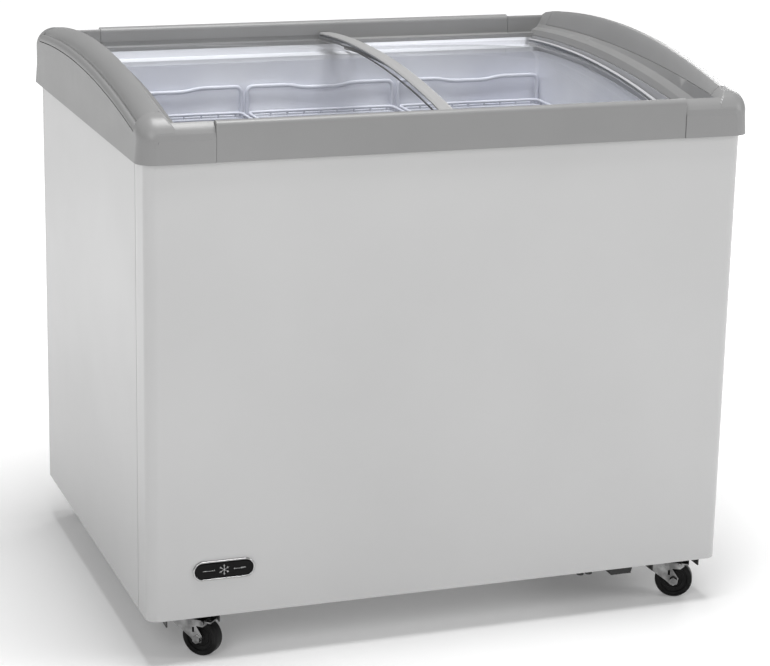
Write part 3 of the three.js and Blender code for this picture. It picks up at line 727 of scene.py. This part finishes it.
def lids():
    for lid in LIDS:
        x0, x1 = node_span(lid + "_glass")
        if lid == "lower":  # it starts in its narrow left edging
            x0 = LOWER_EDGING[1] - LOWER_EDGING_SLOT + GLASS_PLAY / 2
        pane = rounded_section(x0, x1, GLASS_DROP, GLASS_DROP + GLASS, 0.8, 2)
        lid_piece(lid + "_glass", lid + "_glass_pane", lid, "lid_glass", pane)
    x0, x1 = node_span("centre_bar")
    lid_piece("centre_bar", "centre_bar_trim", "upper", "light_trim", bar_section(x0, x1))
    x0, x1 = node_span("centre_bar_gasket")
    lid_piece("centre_bar_gasket", "centre_bar_seal", "upper", "black_rubber",
              rounded_section(x1 - SEAL_WIDTH, x1, SLOT_BOTTOM, SLOT_BOTTOM + 2, 0.8))
    x0, x1 = node_span("upper_lid_left_trim")
    lid_piece("upper_lid_left_trim", "upper_left_edging", "upper", "light_trim",
              c_section(x0, x0 + SIDE_EDGING, 1, SIDE_SLOT))
    lid_piece("lower_lid_left_trim", "lower_left_edging", "lower", "black_rubber",
              c_section(*LOWER_EDGING, 1, LOWER_EDGING_SLOT, LOWER_EDGING_TOP, LOWER_EDGING_BOTTOM))
    x0, x1 = node_span("lower_lid_right_trim")
    lid_piece("lower_lid_right_trim", "lower_right_edging", "lower", "white_plastic",
              c_section(x0, x1, -1, (x1 - x0) / 2 + 0.3, LOWER_TRIM_TOP, LOWER_TRIM_BOTTOM))


def c_section(x0, x1, opening, depth=GLASS_SLOT, top=0, bottom=TRIM):
    """A trim with a slot for the glass. opening is +1 when the slot faces +X."""
    lip, heel = (x1, x0) if opening > 0 else (x0, x1)
    slot = lip - depth * opening
    inset = TRIM_EDGE * opening
    lip_top = min(top + TRIM_EDGE, SLOT_TOP - 0.2)
    lip_bottom = max(bottom - TRIM_EDGE, SLOT_BOTTOM + 0.2)
    return [(heel, top + 1), (heel + inset, top), (lip - inset, top), (lip, lip_top), (lip, SLOT_TOP),
            (slot, SLOT_TOP), (slot, SLOT_BOTTOM), (lip, SLOT_BOTTOM), (lip, lip_bottom),
            (lip - inset, bottom), (heel + inset, bottom), (heel, bottom - 1)]


def bar_section(x0, x1):
    """The centre bar: a ledge over the glass on its left, a shallow crown on top and a plain right face."""
    heel = x0 + GLASS_SLOT
    crown = [(x0, 1.4), (x0 + 1.4, 0.4), (x0 + 6, 0), (x1 - 7, 0), (x1 - 2, 0.5), (x1, 2.2)]
    return crown + [(x1, TRIM - 1), (x1 - 1, TRIM), (heel + 3, TRIM), (heel, TRIM - 2), (heel, SLOT_TOP),
                    (x0, SLOT_TOP)]


# ---------- baskets ----------
def hoop(half, z, bend, segments):
    """A closed level wire with round corners."""
    end = BASKET_END
    corners = [(-half, -end, z), (half, -end, z), (half, end, z), (-half, end, z)]
    return rounded_path(corners, bend, segments, True)


def basket_cage(half, floor):
    """U-shaped wires both ways, four rows of hoops and a double rim, about the basket's own middle."""
    end, rim = BASKET_END, BASKET_RIM
    across = half - BASKET_INSET
    bend = 14
    routes = []
    for x in steps(bend - half, half - bend, 8):
        path = [(x, -end, rim), (x, -end, floor), (x, end, floor), (x, end, rim)]
        routes.append((rounded_path(path, bend), BASKET_WIRE, False))
    for y in steps(16 - end, end - 16, 18):
        path = [(-across, y, rim), (-across, y, floor), (across, y, floor), (across, y, rim)]
        routes.append((rounded_path(path, bend), BASKET_WIRE, False))
    for z in steps(floor + 40, rim - 40, 3):
        routes.append((hoop(across, z, 12, 5), BASKET_WIRE, True))
    for z in (rim + 2, rim - 7):
        routes.append((hoop(across - 1, z, bend, 6), BASKET_RIM_WIRE, True))
    return routes


def basket_loop(half, y, top):
    """The loop handle at one end, which dips a little in the middle."""
    left, right = BASKET_LOOP_INSET - half, half - BASKET_LOOP_INSET
    foot, dip, shoulder, slant_end = BASKET_RIM - 8, 5, 70, 95
    path = [(left, y, foot), (left, y, top), (left + shoulder, y, top), (left + slant_end, y, top - dip),
            (right - slant_end, y, top - dip), (right - shoulder, y, top), (right, y, top),
            (right, y, foot)]
    return rounded_path(path, 11), BASKET_LOOP_WIRE, False


def basket(side):
    """A basket of coated wire with a loop handle at each end."""
    node = "basket_" + side
    low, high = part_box(node)
    centre = (high.x + low.x) / 2 / MM
    half = (high.x - low.x) / 2 / MM
    top = high.z / MM - BOTTOM - BASKET_LOOP_INSET
    loop_y = BASKET_END + BASKET_LOOP_WIRE
    routes = basket_cage(half, low.z / MM - BOTTOM + 2)
    routes += [basket_loop(half, y, top) for y in (-loop_y, loop_y)]
    moved = [([(x + centre, y, z) for x, y, z in path], radius, closed)
             for path, radius, closed in routes]
    obj = wires(node + "_wires", moved)
    finish_piece(obj, node + "_wires", "basket_wire", side + "_basket_body", replaces=(node,))


# ---------- badge ----------
# each ring's distance in from the badge's outline, and how far it stands out from the panel
BADGE_RIM_RINGS = ((0, 0), (0, 1.4), (0.7, 2.2), (1.5, 2.4), (2.1, 2.0), (2.3, 1.2), (2.3, 0))
BADGE_PLATE_RINGS = ((2.5, 0), (2.5, 1.0), (3.4, 1.5), (5.5, 1.75))


def badge():
    """A gloss plate in a bright rim, with a plain six-armed ice mark."""
    low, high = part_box("badge_rim")
    cx = (low.x + high.x) / 2 / MM
    cz = (low.z + high.z) / 2 / MM - BOTTOM
    half_w, half_h = (high.x - low.x) / 2 / MM, (high.z - low.z) / 2 / MM
    face = high.y / MM

    def stadium(inset, out):
        outline = rounded_rect(half_w - inset, half_h - inset, half_h - inset - 0.05, 24)
        return [(cx + x, face - out, cz + z) for x, z in outline]

    rim = loft("rim", [stadium(*ring) for ring in BADGE_RIM_RINGS], closed_path=True)
    soften(rim, 0, angle=60)
    finish_piece(rim, "badge_bright_rim", "chrome_trim", replaces=("badge_rim",))
    plate = loft("plate", [stadium(*ring) for ring in BADGE_PLATE_RINGS])
    soften(plate, 0, angle=60)
    finish_piece(plate, "badge_gloss_plate", "black_plastic", replaces=("badge_plate",))
    mark = wires("mark", ice_mark(cx, face - BADGE_PLATE_RINGS[-1][1], cz))
    finish_piece(mark, "badge_ice_mark", "chrome_trim")


def ice_mark(cx, y, cz):
    """Six arms with two short branches each, and a plain line on each side."""
    arm, branch_at, branch = 8, 4.8, 2.6
    line_start, line_end = 14, 32
    routes = []
    for k in range(6):
        a = math.pi * k / 3 + math.pi / 6
        routes.append(([(cx, y, cz), (cx + arm * math.cos(a), y, cz + arm * math.sin(a))], 0.4, False))
        knee_x, knee_z = cx + branch_at * math.cos(a), cz + branch_at * math.sin(a)
        for turn in (-0.7, 0.7):
            end = (knee_x + branch * math.cos(a + turn), y, knee_z + branch * math.sin(a + turn))
            routes.append(([(knee_x, y, knee_z), end], 0.3, False))
    for side in (-1, 1):
        line = [(cx + side * line_start, y, cz), (cx + side * line_end, y, cz)]
        routes.append((line, 0.35, False))
    return routes


# ---------- casters ----------
def caster_wheel(label):
    """A hard black wheel: a flat tread between slanted shoulders, raised rings and a hub boss."""
    r, w, hub = WHEEL_R, WHEEL_W / 2, 3.9
    face = [(hub, w), (7.5, w), (8.3, w - 0.6), (8.6, w - 3), (13, w - 3.4), (13.5, w - 2.6),
            (14.6, w - 2.6), (15.1, w - 3.4), (20, w - 3), (21, w - 0.8), (22, w - 0.2), (24.5, w - 0.2),
            (27, w - 0.9), (28.5, w - 2.4), (r, w - 4.6)]
    obj = lathe_y("wheel", [(a, -b) for a, b in face] + [(a, b) for a, b in reversed(face)])
    node = label + "_wheel"
    low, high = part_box(node)
    joint = next(j for j in frame["joints"] if j["name"] == label + "_roll")
    axis = Vector(joint["axis"])
    turn = Matrix.Rotation(math.atan2(-axis.x, axis.y), 4, "Z")
    obj.data.transform(Matrix.Translation((0, 0, -BOTTOM * MM)))
    obj.data.transform(Matrix.Translation((low + high) / 2) @ turn)
    soften(obj, 0, angle=50)
    finish_piece(obj, label + "_tread", "black_wheel", node + "_body", replaces=(node,))


# ---------- CAD parts that keep their own shape ----------
BEVELS = {"compressor": 1.5, "thermostat_housing": 0.8, "thermostat_knob": 0.8, "cord_gland": 0.8,
          "vent_grille": 0.5, "inner_liner": 0.3, "start_relay_box": 1.5, "filter_drier": 1.5,
          "left_base_rail": 0.4, "right_base_rail": 0.4, "compressor_tray": 0.6}


def dress_cad():
    slots = {row["node"]: row["material_slot"] for row in frame["record"]["subparts"]}
    for name, obj in frame["nodes"].items():
        obj.data.materials.clear()
        obj.data.materials.append(MATERIALS[slots[name]])
        width = BEVELS.get(name, 0.45 if slots[name] == "zinc" else 0.3)
        obj.data.shade_smooth()
        obj.data.set_sharp_from_angle(angle=math.radians(EDGE_ANGLE))
        modifier = obj.modifiers.new("bevel", "BEVEL")
        modifier.width = width * MM
        modifier.segments = 2
        modifier.limit_method = "ANGLE"
        modifier.angle_limit = math.radians(EDGE_ANGLE)


# ---------- stage ----------
def stage():
    """A pale floor that glows more with the distance from the object."""
    half = 120  # metres
    corners = [(-half, -half, 0), (half, -half, 0), (half, half, 0), (-half, half, 0)]
    mesh = bpy.data.meshes.new("studio_floor")
    mesh.from_pydata(corners, [], [(0, 1, 2, 3)])
    floor = bpy.data.objects.new("studio_floor", mesh)
    bpy.context.scene.collection.objects.link(floor)
    m = Nodes("studio_floor", grey(0.86), 0.9)
    m.tint(m.noise(1.5, 2), grey(0.85), grey(0.87))
    m.shader.inputs["Emission Color"].default_value = (1, 1, 1, 1)
    place = m.add("ShaderNodeTexCoord")
    away = m.add("ShaderNodeVectorMath", operation="LENGTH")
    m.link(place.outputs["Object"], away.inputs[0])
    glow = m.span(away.outputs["Value"], 0.14, 0.8, 0.5, 2.4, "SMOOTHSTEP")
    m.link(glow, m.shader.inputs["Emission Strength"])
    mesh.materials.append(m.material)


def area_light(name, place, target, size, power):
    light = bpy.data.lights.new(name, "AREA")
    light.shape = "RECTANGLE"
    light.size, light.size_y = size
    light.energy = power
    obj = bpy.data.objects.new(name, light)
    obj.location = place
    obj.rotation_euler = (Vector(target) - Vector(place)).to_track_quat("-Z", "Y").to_euler()
    bpy.context.scene.collection.objects.link(obj)


def lights():
    world = bpy.data.worlds.new("studio")
    world.use_nodes = True
    background = world.node_tree.nodes["Background"]
    background.inputs["Color"].default_value = (1, 1, 1, 1)
    background.inputs["Strength"].default_value = 0.28
    bpy.context.scene.world = world
    area_light("key", (-2.6, -3.4, 2.8), (-0.2, 0, 0.8), (2.0, 1.8), 46)
    area_light("top", (0.0, -0.3, 3.4), (0, 0, 0.8), (1.6, 1.6), 92)
    area_light("right_edge", (3.2, -1.8, 1.7), (0.45, 0, 0.8), (0.7, 1.4), 26)
    area_light("right_back", (2.8, 2.6, 2.0), (0.4, 0, 0.8), (1.2, 1.2), 30)
    bpy.context.scene.view_settings.view_transform = "Standard"


def camera():
    """A long lens, left of the front and a little above, with a slight roll."""
    azimuth, elevation, roll = (math.radians(a) for a in (-20.01, 15.92, 1.21))
    back = Vector((math.sin(azimuth) * math.cos(elevation), -math.cos(azimuth) * math.cos(elevation),
                   math.sin(elevation)))
    right = (-back).cross(Vector((0, 0, 1))).normalized()
    up = right.cross(-back)
    axis_x = math.cos(roll) * right + math.sin(roll) * up
    axis_y = back.cross(axis_x)
    data = bpy.data.cameras.new("view")
    data.sensor_width = 36
    data.lens = 111.8
    data.clip_end = 100
    obj = bpy.data.objects.new("view", data)
    turn = Matrix((axis_x, axis_y, back)).transposed().to_4x4()
    obj.matrix_world = Matrix.Translation((-1.227, -3.430, 1.342 + BOTTOM * MM)) @ turn
    bpy.context.scene.collection.objects.link(obj)
    bpy.context.scene.camera = obj


camera()
lights()
stage()
dress_cad()
front_panel()
rails()
end_caps()
lids()
for basket_side in ("left", "centre", "right"):
    basket(basket_side)
badge()
for caster_label in ("front_left", "front_right", "rear_left", "rear_right"):
    caster_wheel(caster_label)
